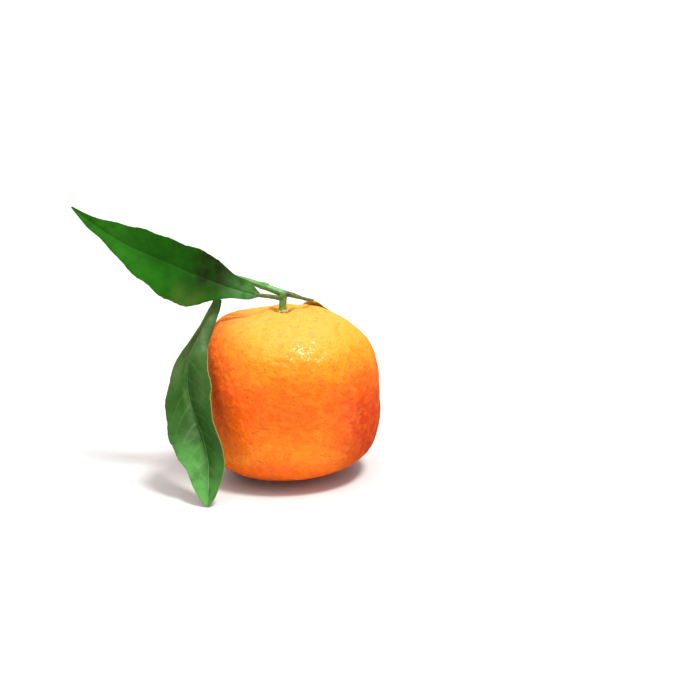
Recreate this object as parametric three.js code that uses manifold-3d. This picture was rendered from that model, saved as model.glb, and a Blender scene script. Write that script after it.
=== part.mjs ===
// A mandarin picked with its stalk, a short twig and three leaves.
// Millimetres, +Z up, seen from -Y. The origin is the middle of the flat spot that the fruit rests on.
import * as THREE from "three";
import { mergeVertices } from "three/addons/utils/BufferGeometryUtils.js";
import Module from "manifold-3d";

const wasm = await Module();
wasm.setup();

// Driving sizes.
const FRUIT_WIDTH = 60.4;
const FRUIT_HEIGHT = 58.4;
const CALYX_RADIUS = 2.45;
const CALYX_HEIGHT = 1.1; // with the gap under it and the gap over it
const CALYX_LOBES = { count: 5, depth: 0.12, turn: 0.4 };
const STALK_LENGTH = 4.9;
const STALK_RADIUS = 1.25;
const STALK_FLARES = [0.16, 0.1]; // widening at its foot and at the node, in shares of its radius
const KNOT = { radius: 1.42, below: 0.1 }; // the swelling at the node
const BLADE_THICKNESS = 0.7;
const GAP = 0.25; // left between pieces that touch

// The fruit's outline on its right and left side, from the flat spot up to the calyx's seat.
// Each point is [share of half the width, share of the height].
const RIGHT_SIDE = [
  [0.2, 0], [0.44, 0.037], [0.71, 0.082], [0.92, 0.168], [1.008, 0.31], [1.01, 0.48],
  [0.985, 0.65], [0.895, 0.785], [0.755, 0.865], [0.58, 0.932], [0.41, 0.976], [0.25, 0.996], [0.1, 0.998],
  [0.022, 0.983],
];
const LEFT_SIDE = [
  [-0.2, 0], [-0.44, 0.031], [-0.725, 0.062], [-0.91, 0.148], [-0.975, 0.29], [-0.988, 0.46],
  [-0.968, 0.65], [-0.918, 0.81], [-0.82, 0.91], [-0.645, 0.952], [-0.45, 0.97], [-0.3, 0.991],
  [-0.235, 0.998], [-0.166, 0.983],
];

// How finely each piece is faceted.
const FRUIT_RINGS = 38;
const FRUIT_SIDES = 56;
const CALYX_SIDES = 30;
const STALK_FACETS = { steps: 8, sides: 14 };
const TWIG_FACETS = { steps: 18, sides: 12 };
const STUB_FACETS = { steps: 8, sides: 12 };
const BALL_DETAIL = 2;
const BLADE_STEPS = 32;
const BLADE_COLUMNS = 8;
const RIB_FACETS = { steps: 20, sides: 6 };

// Creases in the peel that run down from the calyx: where each lies round it and its width,
// both in degrees, and its depth.
const CREASES = [
  { at: 14, width: 14, depth: 1.3 }, { at: 62, width: 13, depth: 0.9 }, { at: 112, width: 13, depth: 0.5 },
  { at: 152, width: 27, depth: 3 }, { at: 212, width: 11, depth: 0.5 }, { at: 252, width: 12, depth: 0.4 },
  { at: 293, width: 12, depth: 0.6 }, { at: 338, width: 12, depth: 0.4 },
];
const CREASE_FROM = 3.5; // distance from the calyx at which the creases begin, are deepest and end
const CREASE_DEEPEST = 11;
const CREASE_TO = 22;

// Gentle unevenness of the whole fruit: swellings round it and up it, and their height.
const SWELLINGS = [
  { round: 2, up: 1, phase: 0.9, height: 0.35 },
  { round: 3, up: 2, phase: 2.1, height: 0.28 },
  { round: 5, up: 3, phase: 4.0, height: 0.16 },
];

const seat = new THREE.Vector3(
  ((RIGHT_SIDE.at(-1)[0] + LEFT_SIDE.at(-1)[0]) * FRUIT_WIDTH) / 4,
  0,
  RIGHT_SIDE.at(-1)[1] * FRUIT_HEIGHT,
);
const node = seat.clone().add(new THREE.Vector3(0.4, 0, CALYX_HEIGHT + STALK_LENGTH));

// Routes of the wood, from the node where the stalk meets the twig.
const TWIG_ROUTE = [
  [0, 0, 0], [-3, 0.2, 1.1], [-6.4, 0.8, 2.3], [-11.5, 1.8, 3.8], [-16, 3.4, 4.7], [-20, 4.8, 5.1],
];
const TWIG_RADII = [1.2, 0.85]; // at the node and at the cut end
const STUB_ROUTE = [[-0.2, 0, 0], [2, 0.2, -0.3], [4.4, 0.6, -1.1], [6.8, 1.3, -2.1]];
const STUB_RADII = [1.1, 0.5];
const BUD = { at: [-6.5, 0.6, 3.3], size: [1.4, 0.75, 0.7], lean: -0.35 };

// Each leaf: its route from the wood to its tip, with the share of it that is the petiole, the way
// its upper face looks, and the blade at stations along it: half-widths, and in degrees the turn
// about the midrib and the fold of each half.
const LEAVES = {
  leaf_upper: {
    route: [
      [-1.7, -1.7, -1], [-5, -2.3, -0.3], [-8.3, -2.7, 0.2], [-14.6, -3.5, 2], [-22.7, -4, 4.9],
      [-32.8, -4, 9.2], [-41.1, -3, 12.6], [-51.9, -1, 17], [-61.4, 2, 22.2], [-66.6, 4, 25.5],
      [-71.1, 5.5, 28.6],
    ],
    petiole: 0.085,
    petioleRadii: [0.75, 0.65],
    faces: [0, -1, 0],
    stations: [
      { at: 0, left: 0.5, right: 0.9, turn: 25, fold: 5 },
      { at: 0.05, left: 2.4, right: 3.3, turn: 25, fold: 8 },
      { at: 0.14, left: 3.8, right: 4.7, turn: 22, fold: 12 },
      { at: 0.2, left: 6.2, right: 6.2, turn: 18, fold: 13 },
      { at: 0.26, left: 9.5, right: 8, turn: 14, fold: 13 },
      { at: 0.35, left: 11.8, right: 8.4, turn: 12, fold: 12 },
      { at: 0.48, left: 10.3, right: 7.9, turn: 12, fold: 12 },
      { at: 0.6, left: 7.7, right: 7.6, turn: 12, fold: 12 },
      { at: 0.7, left: 4.9, right: 6.2, turn: 10, fold: 12 },
      { at: 0.8, left: 3, right: 4, turn: 8, fold: 12 },
      { at: 0.9, left: 2, right: 1.6, turn: 5, fold: 10 },
      { at: 1, left: 0.3, right: 0.3, turn: 0, fold: 5 },
    ],
    waves: { count: 3.5, height: 0.5, phase: 0.6 },
  },
  leaf_lower: {
    route: [
      [-20, 3.6, 4.2], [-22, 1.4, 1.8], [-22.8, -1.6, -1.9], [-25.6, -5, -7.2],
      [-29.3, -9.1, -13.5], [-31.3, -11.7, -18.4], [-31.8, -14.6, -25], [-30.6, -17.5, -33.1],
      [-26, -23.5, -43.6], [-24.4, -27, -49.9], [-24, -30.5, -55.5], [-24.3, -34.9, -62.9],
    ],
    petiole: 0.1,
    petioleRadii: [0.75, 0.65],
    faces: [0, -1, 0],
    stations: [
      { at: 0, left: 1.8, right: 0.8, turn: -20, fold: 30 },
      { at: 0.08, left: 3.2, right: 2.2, turn: -25, fold: 38 },
      { at: 0.2, left: 4.8, right: 3.6, turn: -28, fold: 40 },
      { at: 0.3, left: 7, right: 5.2, turn: -15, fold: 43 },
      { at: 0.4, left: 9.6, right: 7.8, turn: -8, fold: 42 },
      { at: 0.5, left: 10.6, right: 9.4, turn: -2, fold: 38 },
      { at: 0.6, left: 10.4, right: 10.3, turn: 8, fold: 35 },
      { at: 0.7, left: 9.2, right: 10.8, turn: 14, fold: 34 },
      { at: 0.8, left: 8.8, right: 8.8, turn: 13, fold: 30 },
      { at: 0.9, left: 5, right: 5.8, turn: 10, fold: 26 },
      { at: 0.96, left: 3, right: 3.4, turn: 10, fold: 22 },
      { at: 1, left: 0.8, right: 0.8, turn: 10, fold: 20 },
    ],
    waves: { count: 2.5, height: 0.4, phase: 2.2 },
  },
  leaf_back: {
    route: [
      [7.3, 1.7, -2.3], [8.4, 3.6, -3], [9.5, 7.2, -4.1], [10.4, 12, -5.6], [11, 17.8, -8],
      [11.4, 25, -12.2], [11.6, 31.8, -19], [11.7, 36, -28], [11.5, 37.8, -38], [10.9, 38.2, -47.5],
    ],
    petiole: 0.1,
    petioleRadii: [0.5, 0.45],
    faces: [0.35, 0.6, 0.7],
    stations: [
      { at: 0, left: 0.6, right: 0.6, turn: 0, fold: -5 },
      { at: 0.1, left: 2.2, right: 2.2, turn: 0, fold: -8 },
      { at: 0.35, left: 6.4, right: 6.6, turn: 0, fold: -6 },
      { at: 0.55, left: 8, right: 8.2, turn: 0, fold: -6 },
      { at: 0.78, left: 5.6, right: 5.8, turn: 0, fold: -6 },
      { at: 0.92, left: 2.2, right: 2.4, turn: 0, fold: -4 },
      { at: 1, left: 0.3, right: 0.3, turn: 0, fold: 0 },
    ],
    waves: { count: 3, height: 0.4, phase: 4 },
  },
};
const CRENATIONS = 7; // shallow teeth along each margin
const CRENATION_DEPTH = 0.03; // share of the half-width
const RIB_END = 0.97; // share of the route at which the rib under the blade ends
const RIB_TIP_RADIUS = 0.32;
const RIB_SINK = 0.8; // share of its radius that the rib lies below the blade's middle
const PETIOLE_BLEND = 0.1; // share of the blade over which the petiole sinks to become the rib
const FOLD_AT_RIB = 1.3; // the halves rise from the rib and flatten towards the margin

const vector = ([x, y, z]) => new THREE.Vector3(x, y, z);
const fromNode = (point) => vector(point).add(node);
const smooth = (points) => new THREE.CatmullRomCurve3(points, false, "centripetal");

// A closed body from rings of points, which all have the same number of them.
function ringSolid(rings) {
  const sides = rings[0].length;
  const positions = rings.flat().flatMap((p) => [p.x, p.y, p.z]);
  const middle = (ring) => ring.reduce((sum, p) => sum.add(p), new THREE.Vector3()).divideScalar(sides);
  const first = middle(rings[0]);
  const last = middle(rings.at(-1));
  positions.push(first.x, first.y, first.z, last.x, last.y, last.z);
  const firstIndex = rings.length * sides;
  const faces = [];
  for (let s = 0; s < sides; s++) {
    const next = (s + 1) % sides;
    const top = (rings.length - 1) * sides;
    faces.push(firstIndex, next, s, firstIndex + 1, top + s, top + next);
    for (let r = 0; r + 1 < rings.length; r++) {
      const [low, high] = [r * sides, (r + 1) * sides];
      faces.push(low + s, low + next, high + next, low + s, high + next, high + s);
    }
  }
  return new THREE.BufferGeometry()
    .setAttribute("position", new THREE.Float32BufferAttribute(positions, 3))
    .setIndex(faces);
}

function toSolid(geometry) {
  const bare = new THREE.BufferGeometry()
    .setAttribute("position", geometry.getAttribute("position"))
    .setIndex(geometry.index);
  const merged = mergeVertices(bare);
  return new wasm.Manifold(new wasm.Mesh({
    numProp: 3,
    vertProperties: new Float32Array(merged.getAttribute("position").array),
    triVerts: new Uint32Array(merged.index.array),
  }));
}

function toGeometry(solid) {
  const mesh = solid.getMesh();
  return new THREE.BufferGeometry()
    .setAttribute("position", new THREE.BufferAttribute(mesh.vertProperties, 3))
    .setIndex(new THREE.BufferAttribute(mesh.triVerts, 1));
}

function joined(geometries) {
  return toGeometry(geometries.map(toSolid).reduce((whole, piece) => whole.add(piece)));
}

// A round rod of changing radius along points, with the ring directions carried from one point to the next.
function rod(points, radii, sides) {
  const tangents = points.map((p, i) =>
    points[Math.min(i + 1, points.length - 1)].clone().sub(points[Math.max(i - 1, 0)]).normalize());
  const side = new THREE.Vector3(0, 1, 0).cross(tangents[0]);
  if (side.length() < 0.1) side.set(1, 0, 0);
  return ringSolid(points.map((p, i) => {
    side.addScaledVector(tangents[i], -side.dot(tangents[i])).normalize();
    const other = tangents[i].clone().cross(side);
    return Array.from({ length: sides }, (_, s) => {
      const angle = (s / sides) * 2 * Math.PI;
      return p.clone()
        .addScaledVector(side, radii[i] * Math.cos(angle))
        .addScaledVector(other, radii[i] * Math.sin(angle));
    });
  }));
}

// How far the peel is pushed in by its creases at a place near the calyx.
function creaseDepth(fromSeat) {
  const distance = Math.hypot(fromSeat.x, fromSeat.y);
  const rise = THREE.MathUtils.smoothstep(distance, CREASE_FROM, CREASE_DEEPEST);
  const fall = 1 - THREE.MathUtils.smoothstep(distance, CREASE_DEEPEST, CREASE_TO);
  const round = THREE.MathUtils.radToDeg(Math.atan2(fromSeat.y, fromSeat.x));
  const depth = CREASES.reduce((sum, crease) => {
    const away = THREE.MathUtils.euclideanModulo(round - crease.at + 180, 360) - 180;
    return sum + crease.depth * Math.exp(-((away / crease.width) ** 2));
  }, 0);
  return depth * rise * fall;
}

function fruit() {
  const place = ([x, z]) => new THREE.Vector3((x * FRUIT_WIDTH) / 2, 0, z * FRUIT_HEIGHT);
  const right = smooth(RIGHT_SIDE.map(place));
  const left = smooth(LEFT_SIDE.map(place));
  const rings = [];
  for (let r = 0; r <= FRUIT_RINGS; r++) {
    const up = r / FRUIT_RINGS;
    const [a, b] = [right.getPoint(up), left.getPoint(up)];
    const middle = a.clone().add(b).divideScalar(2);
    const half = a.clone().sub(b).divideScalar(2);
    rings.push(Array.from({ length: FRUIT_SIDES }, (_, s) => {
      const round = (s / FRUIT_SIDES) * 2 * Math.PI;
      const out = half.clone().multiplyScalar(Math.cos(round));
      out.y = half.length() * Math.sin(round);
      const flat = r === 0 || r === FRUIT_RINGS;
      const swelling = SWELLINGS.reduce((sum, w) =>
        sum + w.height * Math.sin(w.round * round + w.phase) * Math.sin(Math.PI * up) *
          Math.cos((w.up - 1) * Math.PI * up), 0);
      const point = middle.clone().addScaledVector(out, 1 + (flat ? 0 : swelling / half.length()));
      if (!flat) point.z -= creaseDepth(point.clone().sub(seat)) * (up > 0.5 ? 1 : 0);
      return point;
    }));
  }
  return ringSolid(rings);
}

// The green button under the stalk: a low five-lobed disc.
function calyx() {
  const base = seat.z + GAP;
  const lobed = (share, height) => Array.from({ length: CALYX_SIDES }, (_, s) => {
    const round = (s / CALYX_SIDES) * 2 * Math.PI;
    const lobe = CALYX_LOBES.depth * share * Math.cos(CALYX_LOBES.count * round + CALYX_LOBES.turn);
    const radius = CALYX_RADIUS * share * (1 + lobe);
    return new THREE.Vector3(
      seat.x + radius * Math.cos(round), seat.y + radius * Math.sin(round), base + height);
  });
  const top = CALYX_HEIGHT - 2 * GAP;
  return ringSolid([
    lobed(0.55, 0), lobed(0.92, 0), lobed(1, top * 0.3), lobed(0.97, top * 0.6),
    lobed(0.8, top * 0.75), lobed(0.66, top * 0.9), lobed(0.55, top),
  ]);
}

function wood() {
  const along = (route, radii, facets) => {
    const points = smooth(route.map(fromNode)).getSpacedPoints(facets.steps);
    const taper = points.map((_, i) => THREE.MathUtils.lerp(radii[0], radii[1], i / facets.steps));
    return rod(points, taper, facets.sides);
  };
  const foot = seat.clone().add(new THREE.Vector3(0, 0, CALYX_HEIGHT));
  const { steps, sides } = STALK_FACETS;
  const stalkPoints = smooth([foot, foot.clone().lerp(node, 0.5), node]).getSpacedPoints(steps);
  const stalkRadii = stalkPoints.map((_, i) =>
    STALK_RADIUS * (1 + STALK_FLARES[0] * Math.exp(-i) + STALK_FLARES[1] * Math.exp(i - steps)));
  const knot = new THREE.IcosahedronGeometry(KNOT.radius, BALL_DETAIL)
    .translate(node.x, node.y, node.z - KNOT.below);
  const bud = new THREE.IcosahedronGeometry(1, BALL_DETAIL)
    .scale(...BUD.size)
    .rotateY(-BUD.lean)
    .translate(...fromNode(BUD.at).toArray());
  for (const ball of [knot, bud]) ball.deleteAttribute("normal").deleteAttribute("uv");
  return joined([
    rod(stalkPoints, stalkRadii, sides),
    along(TWIG_ROUTE, TWIG_RADII, TWIG_FACETS),
    along(STUB_ROUTE, STUB_RADII, STUB_FACETS),
    mergeVertices(knot),
    mergeVertices(bud),
  ]);
}

// Where a leaf's midrib, sides and upper face are, at a share of its route.
function leafFrames(leaf) {
  const curve = smooth(leaf.route.map(fromNode));
  const keys = ["left", "right", "turn", "fold"];
  const table = new THREE.CubicInterpolant(
    leaf.stations.map((s) => s.at),
    leaf.stations.flatMap((s) => keys.map((key) => s[key])),
    keys.length,
  );
  return (share) => {
    const onBlade = THREE.MathUtils.clamp((share - leaf.petiole) / (1 - leaf.petiole), 0, 1);
    const [left, right, turn, fold] = table.evaluate(onBlade);
    const along = curve.getTangentAt(share);
    const up = vector(leaf.faces);
    up.addScaledVector(along, -up.dot(along)).normalize();
    up.applyAxisAngle(along, THREE.MathUtils.degToRad(turn));
    return {
      point: curve.getPointAt(share),
      up,
      side: up.clone().cross(along),
      left,
      right,
      fold: THREE.MathUtils.degToRad(fold),
      onBlade,
    };
  };
}

// The middle surface of a blade at a station, from -1 at its right margin to 1 at its left one.
function bladePoint(frame, across, waves) {
  const half = across > 0 ? frame.left : frame.right;
  const reach = Math.abs(across);
  const teeth = CRENATION_DEPTH * Math.sin(2 * Math.PI * CRENATIONS * frame.onBlade + across);
  const width = half * reach * (1 + teeth * reach);
  const fold = frame.fold * THREE.MathUtils.lerp(FOLD_AT_RIB, 1, reach);
  const lift = waves.height * reach ** 2 *
    Math.sin(2 * Math.PI * waves.count * frame.onBlade + waves.phase * (across > 0 ? 1 : -1)) *
    Math.min(1, half / 5);
  return frame.point.clone()
    .addScaledVector(frame.side, Math.sign(across) * width * Math.cos(fold))
    .addScaledVector(frame.up, width * Math.sin(fold) + lift);
}

// A sheet of points thickened to a closed body, with its two faces split into triangles alike.
function thickened(grid, thickness) {
  const [rows, columns] = [grid.length, grid[0].length];
  const clampTo = (value, most) => Math.min(Math.max(value, 0), most);
  const normalAt = (r, c) => {
    const along = grid[clampTo(r + 1, rows - 1)][c].clone().sub(grid[clampTo(r - 1, rows - 1)][c]);
    const over = grid[r][clampTo(c + 1, columns - 1)].clone()
      .sub(grid[r][clampTo(c - 1, columns - 1)]);
    return along.cross(over).normalize();
  };
  const positions = [];
  for (const side of [1, -1])
    grid.forEach((row, r) => row.forEach((p, c) =>
      positions.push(...p.clone().addScaledVector(normalAt(r, c), (side * thickness) / 2).toArray())));
  const top = (r, c) => r * columns + c;
  const under = (r, c) => rows * columns + r * columns + c;
  const faces = [];
  for (let r = 0; r + 1 < rows; r++)
    for (let c = 0; c + 1 < columns; c++) {
      const [a, b, d, e] = [[r, c], [r + 1, c], [r + 1, c + 1], [r, c + 1]];
      faces.push(top(...a), top(...b), top(...d), top(...a), top(...d), top(...e));
      faces.push(under(...a), under(...d), under(...b), under(...a), under(...e), under(...d));
    }
  const rim = [];
  for (let c = 0; c + 1 < columns; c++) rim.push([0, c, 0, c + 1], [rows - 1, c + 1, rows - 1, c]);
  for (let r = 0; r + 1 < rows; r++) rim.push([r + 1, 0, r, 0], [r, columns - 1, r + 1, columns - 1]);
  for (const [ra, ca, rb, cb] of rim)
    faces.push(top(ra, ca), top(rb, cb), under(rb, cb), top(ra, ca), under(rb, cb), under(ra, ca));
  return new THREE.BufferGeometry()
    .setAttribute("position", new THREE.Float32BufferAttribute(positions, 3))
    .setIndex(faces);
}

// A leaf is its waved blade and the petiole, which runs on as a rib under the blade.
function leafShape(leaf) {
  const frameAt = leafFrames(leaf);
  const grid = Array.from({ length: BLADE_STEPS + 1 }, (_, r) => {
    const frame = frameAt(THREE.MathUtils.lerp(leaf.petiole, 1, r / BLADE_STEPS));
    return Array.from({ length: BLADE_COLUMNS + 1 }, (_, c) =>
      bladePoint(frame, (2 * c) / BLADE_COLUMNS - 1, leaf.waves));
  });
  const ribPoints = [];
  const ribRadii = [];
  for (let i = 0; i <= RIB_FACETS.steps; i++) {
    const share = (i / RIB_FACETS.steps) * RIB_END;
    const frame = frameAt(share);
    const radius = share < leaf.petiole
      ? THREE.MathUtils.lerp(leaf.petioleRadii[0], leaf.petioleRadii[1], share / leaf.petiole)
      : THREE.MathUtils.lerp(leaf.petioleRadii[1], RIB_TIP_RADIUS, frame.onBlade);
    const sink = THREE.MathUtils.smoothstep(frame.onBlade, 0, PETIOLE_BLEND) * radius * RIB_SINK;
    ribPoints.push(frame.point.addScaledVector(frame.up, -sink));
    ribRadii.push(radius);
  }
  return joined([thickened(grid, BLADE_THICKNESS), rod(ribPoints, ribRadii, RIB_FACETS.sides)]);
}

const peel = new THREE.MeshStandardMaterial({ color: 0xf58a1f, roughness: 0.42 });
const button = new THREE.MeshStandardMaterial({ color: 0xa8b56a, roughness: 0.7 });
const bark = new THREE.MeshStandardMaterial({ color: 0x4d8a3c, roughness: 0.6 });
const foliage = new THREE.MeshStandardMaterial({ color: 0x2a7a24, roughness: 0.38 });

const mandarin = new THREE.Group();
function add(name, geometry, material) {
  const mesh = new THREE.Mesh(geometry, material);
  mesh.name = name;
  mandarin.add(mesh);
}
add("fruit", fruit(), peel);
add("calyx", calyx(), button);
add("twig", wood(), bark);
for (const [name, leaf] of Object.entries(LEAVES)) add(name, leafShape(leaf), foliage);

export default mandarin;
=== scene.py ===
import math

import bpy
import numpy as np
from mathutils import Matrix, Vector, noise


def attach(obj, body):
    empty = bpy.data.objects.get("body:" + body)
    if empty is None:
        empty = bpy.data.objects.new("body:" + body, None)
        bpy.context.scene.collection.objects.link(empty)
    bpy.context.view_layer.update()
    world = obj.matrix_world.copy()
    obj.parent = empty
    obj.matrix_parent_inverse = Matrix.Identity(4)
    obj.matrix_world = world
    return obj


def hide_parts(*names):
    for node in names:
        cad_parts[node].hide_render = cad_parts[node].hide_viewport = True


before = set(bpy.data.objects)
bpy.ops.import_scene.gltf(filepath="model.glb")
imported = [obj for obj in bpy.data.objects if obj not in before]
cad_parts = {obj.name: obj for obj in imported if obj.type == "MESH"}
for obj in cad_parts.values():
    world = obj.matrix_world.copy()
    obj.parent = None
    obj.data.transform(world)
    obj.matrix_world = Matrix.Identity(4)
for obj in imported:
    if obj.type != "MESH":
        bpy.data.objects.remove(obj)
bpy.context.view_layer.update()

MM = 0.001  # lengths below are in millimetres, and meshes are made in metres
SEED_SHIFT = 7.31  # how far the noise moves from one seed to the next


# ---- Curves and tables, the same as in the part's source ----

def curve(points):
    """A centripetal Catmull-Rom curve: takes shares of the parameter, gives points."""
    p = np.asarray(points, float)
    p = np.vstack([2 * p[0] - p[1], p, 2 * p[-1] - p[-2]])
    gaps = np.linalg.norm(np.diff(p, axis=0), axis=1) ** 0.5

    def at(share):
        x = np.clip(np.atleast_1d(share), 0, 1) * (len(p) - 3)
        i = np.minimum(x.astype(int), len(p) - 4)
        w = (x - i)[:, None]
        a, b, c, d = (p[i + k] for k in range(4))
        ga, gb, gc = (gaps[i + k][:, None] for k in range(3))
        t1 = ((b - a) / ga - (c - a) / (ga + gb) + (c - b) / gb) * gb
        t2 = ((c - b) / gb - (d - b) / (gb + gc) + (d - c) / gc) * gb
        return (b + t1 * w + (3 * (c - b) - 2 * t1 - t2) * w**2 + (2 * (b - c) + t1 + t2) * w**3)

    return at


def even_curve(points):
    """The same curve by shares of its length: gives points and tangents."""
    at = curve(points)
    t = np.linspace(0, 1, 401)
    length = np.r_[0, np.cumsum(np.linalg.norm(np.diff(at(t), axis=0), axis=1))]

    def both(share):
        u = np.interp(share, length / length[-1], t)
        step = at(u + 1e-4) - at(u - 1e-4)
        return at(u), step / np.linalg.norm(step, axis=1, keepdims=True)

    return both, length[-1]


def table(stations):
    """Smooth values between stations. Each is a row that starts with its place."""
    rows = np.array(stations, float)
    x, y = rows[:, 0], rows[:, 1:]
    slope = np.empty_like(y)
    secant = np.diff(y, axis=0) / np.diff(x)[:, None]
    slope[1:-1] = (secant[1:] + secant[:-1]) / 2
    slope[0], slope[-1] = secant[0], secant[-1]

    def at(share):
        i = np.clip(np.searchsorted(x, share, side="right") - 1, 0, len(x) - 2)
        h = (x[i + 1] - x[i])[:, None]
        p = ((share - x[i]) / (x[i + 1] - x[i]))[:, None]
        return ((2 * p**3 - 3 * p**2 + 1) * y[i] + (p**3 - 2 * p**2 + p) * h * slope[i]
                + (3 * p**2 - 2 * p**3) * y[i + 1] + (p**3 - p**2) * h * slope[i + 1]).T

    return at


def smoothstep(x, low, high):
    x = np.clip((x - low) / (high - low), 0, 1)
    return x * x * (3 - 2 * x)


def unit(v):
    return v / np.maximum(np.linalg.norm(v, axis=-1, keepdims=True), 1e-12)


def field(points, scale, seed):
    """Smooth noise from about -1 to 1 at points in millimetres, with lumps about scale across."""
    out = np.empty(len(points))
    for i, p in enumerate(points / scale + seed * SEED_SHIFT):
        out[i] = noise.fractal(Vector(p), 1.0, 2.0, 2)  # full depth, twice as fine, two octaves
    return out


# ---- Meshes ----

def make_object(name, points, faces, attributes=None):
    mesh = bpy.data.meshes.new(name)
    mesh.from_pydata((np.asarray(points) * MM).tolist(), [], [list(map(int, f)) for f in faces])
    mesh.update()
    mesh.shade_smooth()
    for key, values in (attributes or {}).items():
        mesh.attributes.new(key, "FLOAT", "POINT").data.foreach_set("value", np.asarray(values, np.float32))
    piece = bpy.data.objects.new(name, mesh)
    bpy.context.scene.collection.objects.link(piece)
    return piece


def ring_faces(rings, sides, start=0):
    faces = []
    for r in range(rings - 1):
        low, high = start + r * sides, start + (r + 1) * sides
        for s in range(sides):
            n = (s + 1) % sides
            faces.append((low + s, low + n, high + n, high + s))
    return faces


def capped_rings(rings):
    """Points and faces of a closed body from rings of points."""
    rings = np.asarray(rings)
    count, sides = rings.shape[:2]
    points = np.vstack([rings.reshape(-1, 3), rings[0].mean(0), rings[-1].mean(0)])
    first, last = count * sides, count * sides + 1
    faces = ring_faces(count, sides)
    top = (count - 1) * sides
    for s in range(sides):
        n = (s + 1) % sides
        faces += [(first, n, s), (last, top + s, top + n)]
    return points, faces


def rod(path, radii, sides, bumps=None):
    """Rings of a rod along a path. bumps(share, angle) adds to its radius."""
    path = np.asarray(path)
    tangents = unit(np.gradient(path, axis=0))
    side = np.cross([0, 1, 0], tangents[0])
    if np.linalg.norm(side) < 0.1:
        side = np.array([1.0, 0, 0])
    angle = np.linspace(0, 2 * np.pi, sides, endpoint=False)
    rings = []
    for i, (p, t) in enumerate(zip(path, tangents)):
        side = unit(side - side.dot(t) * t)
        other = np.cross(t, side)
        radius = radii[i] + (bumps(i / (len(path) - 1), angle) if bumps else 0 * angle)
        rings.append(p + radius[:, None] * (np.cos(angle)[:, None] * side + np.sin(angle)[:, None] * other))
    return np.array(rings)


def fused(name, bodies, voxel, smooth_rounds):
    """One clean skin round several overlapping closed bodies."""
    points, faces, start = [], [], 0
    for body_points, body_faces in bodies:
        points.append(body_points)
        faces += [tuple(i + start for i in f) for f in body_faces]
        start += len(body_points)
    mesh = bpy.data.meshes.new(name)
    mesh.from_pydata(np.vstack(points).tolist(), [], [list(map(int, f)) for f in faces])
    raw = bpy.data.objects.new(name + "_raw", mesh)
    bpy.context.scene.collection.objects.link(raw)
    remesh = raw.modifiers.new("skin", "REMESH")
    remesh.mode, remesh.voxel_size = "VOXEL", voxel
    relax = raw.modifiers.new("relax", "SMOOTH")
    relax.factor, relax.iterations = 0.5, smooth_rounds
    shaped = raw.evaluated_get(bpy.context.evaluated_depsgraph_get())
    result = shaped.to_mesh()
    skin = np.empty(len(result.vertices) * 3)
    result.vertices.foreach_get("co", skin)
    skin_faces = [tuple(p.vertices) for p in result.polygons]
    shaped.to_mesh_clear()
    bpy.data.objects.remove(raw)
    bpy.data.meshes.remove(mesh)
    return skin.reshape(-1, 3), skin_faces


# ---- Materials ----

def rgb(r, g, b):
    """Screen colour, 0 to 255, as the linear colour that nodes use."""
    return tuple(((c / 255 + 0.055) / 1.055) ** 2.4 if c > 10 else c / 255 / 12.92 for c in (r, g, b)) + (1.0,)


class Look:
    """A node material, built from its Principled shader backwards."""

    def __init__(self, name):
        self.material = bpy.data.materials.new(name)
        self.material.use_nodes = True
        self.tree = self.material.node_tree
        self.shader = self.tree.nodes["Principled BSDF"]
        self.place = self.node("TexCoord").outputs["Object"]

    def node(self, kind, inputs=None, **settings):
        made = self.tree.nodes.new("ShaderNode" + kind)
        for key, value in settings.items():
            setattr(made, key, value)
        for key, value in (inputs or {}).items():
            self.feed(made.inputs[key], value)
        return made

    def feed(self, socket, value):
        if isinstance(value, bpy.types.NodeSocket):
            self.tree.links.new(value, socket)
        else:
            socket.default_value = value

    def set(self, **values):
        for key, value in values.items():
            self.feed(self.shader.inputs[key.replace("_", " ")], value)

    def attribute(self, name):
        return self.node("Attribute", attribute_name=name).outputs["Fac"]

    def noise(self, size, detail=3.0, rough=0.55, vector=None):
        return self.node("TexNoise", {
            "Vector": vector or self.place, "Scale": 1 / (size * MM), "Detail": detail, "Roughness": rough,
        }).outputs["Fac"]

    def cells(self, size, feature="F1"):
        return self.node("TexVoronoi", {"Vector": self.place, "Scale": 1 / (size * MM)},
                         feature=feature).outputs["Distance"]

    def span(self, value, low, high, to_low=0.0, to_high=1.0, smooth=True):
        return self.node("MapRange", {
            "Value": value, "From Min": low, "From Max": high, "To Min": to_low, "To Max": to_high},
            interpolation_type="SMOOTHSTEP" if smooth else "LINEAR").outputs["Result"]

    def math(self, operation, first, *others):
        """One operation over any number of values, from left to right."""
        for other in others:
            first = self.node("Math", {0: first, 1: other}, operation=operation).outputs["Value"]
        return first

    def times(self, *values):
        return self.math("MULTIPLY", *values)

    def plus(self, *values):
        return self.math("ADD", *values)

    def mix(self, factor, a, b):
        made = self.node("Mix", data_type="RGBA")
        for socket, value in ((made.inputs["Factor"], factor), (made.inputs[6], a), (made.inputs[7], b)):
            self.feed(socket, value)
        return made.outputs[2]

    def ramp(self, value, stops):
        made = self.node("ValToRGB", {"Fac": value})
        made.color_ramp.interpolation = "EASE"
        ramp = made.color_ramp.elements
        while len(ramp) < len(stops):
            ramp.new(0.5)
        for element, (at, colour) in zip(ramp, stops):
            element.position, element.color = at, colour
        return made.outputs["Color"]

    def bump(self, height, distance, strength=1.0):
        made = self.node("Bump", {"Height": height, "Distance": distance * MM, "Strength": strength})
        return made.outputs["Normal"]

    def patch(self, centre, size, turn=0.0):
        """1 at the middle of an oval patch on the surface and 0 outside it. Sizes are half-lengths."""
        moved = self.node("Mapping", {
            "Vector": self.place, "Location": tuple(c * MM for c in centre), "Rotation": (0, turn, 0),
            "Scale": tuple(s * MM for s in size)}, vector_type="TEXTURE").outputs["Vector"]
        away = self.node("VectorMath", {0: moved}, operation="LENGTH").outputs["Value"]
        return self.span(away, 0.6, 1.0, 1.0, 0.0)


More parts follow.
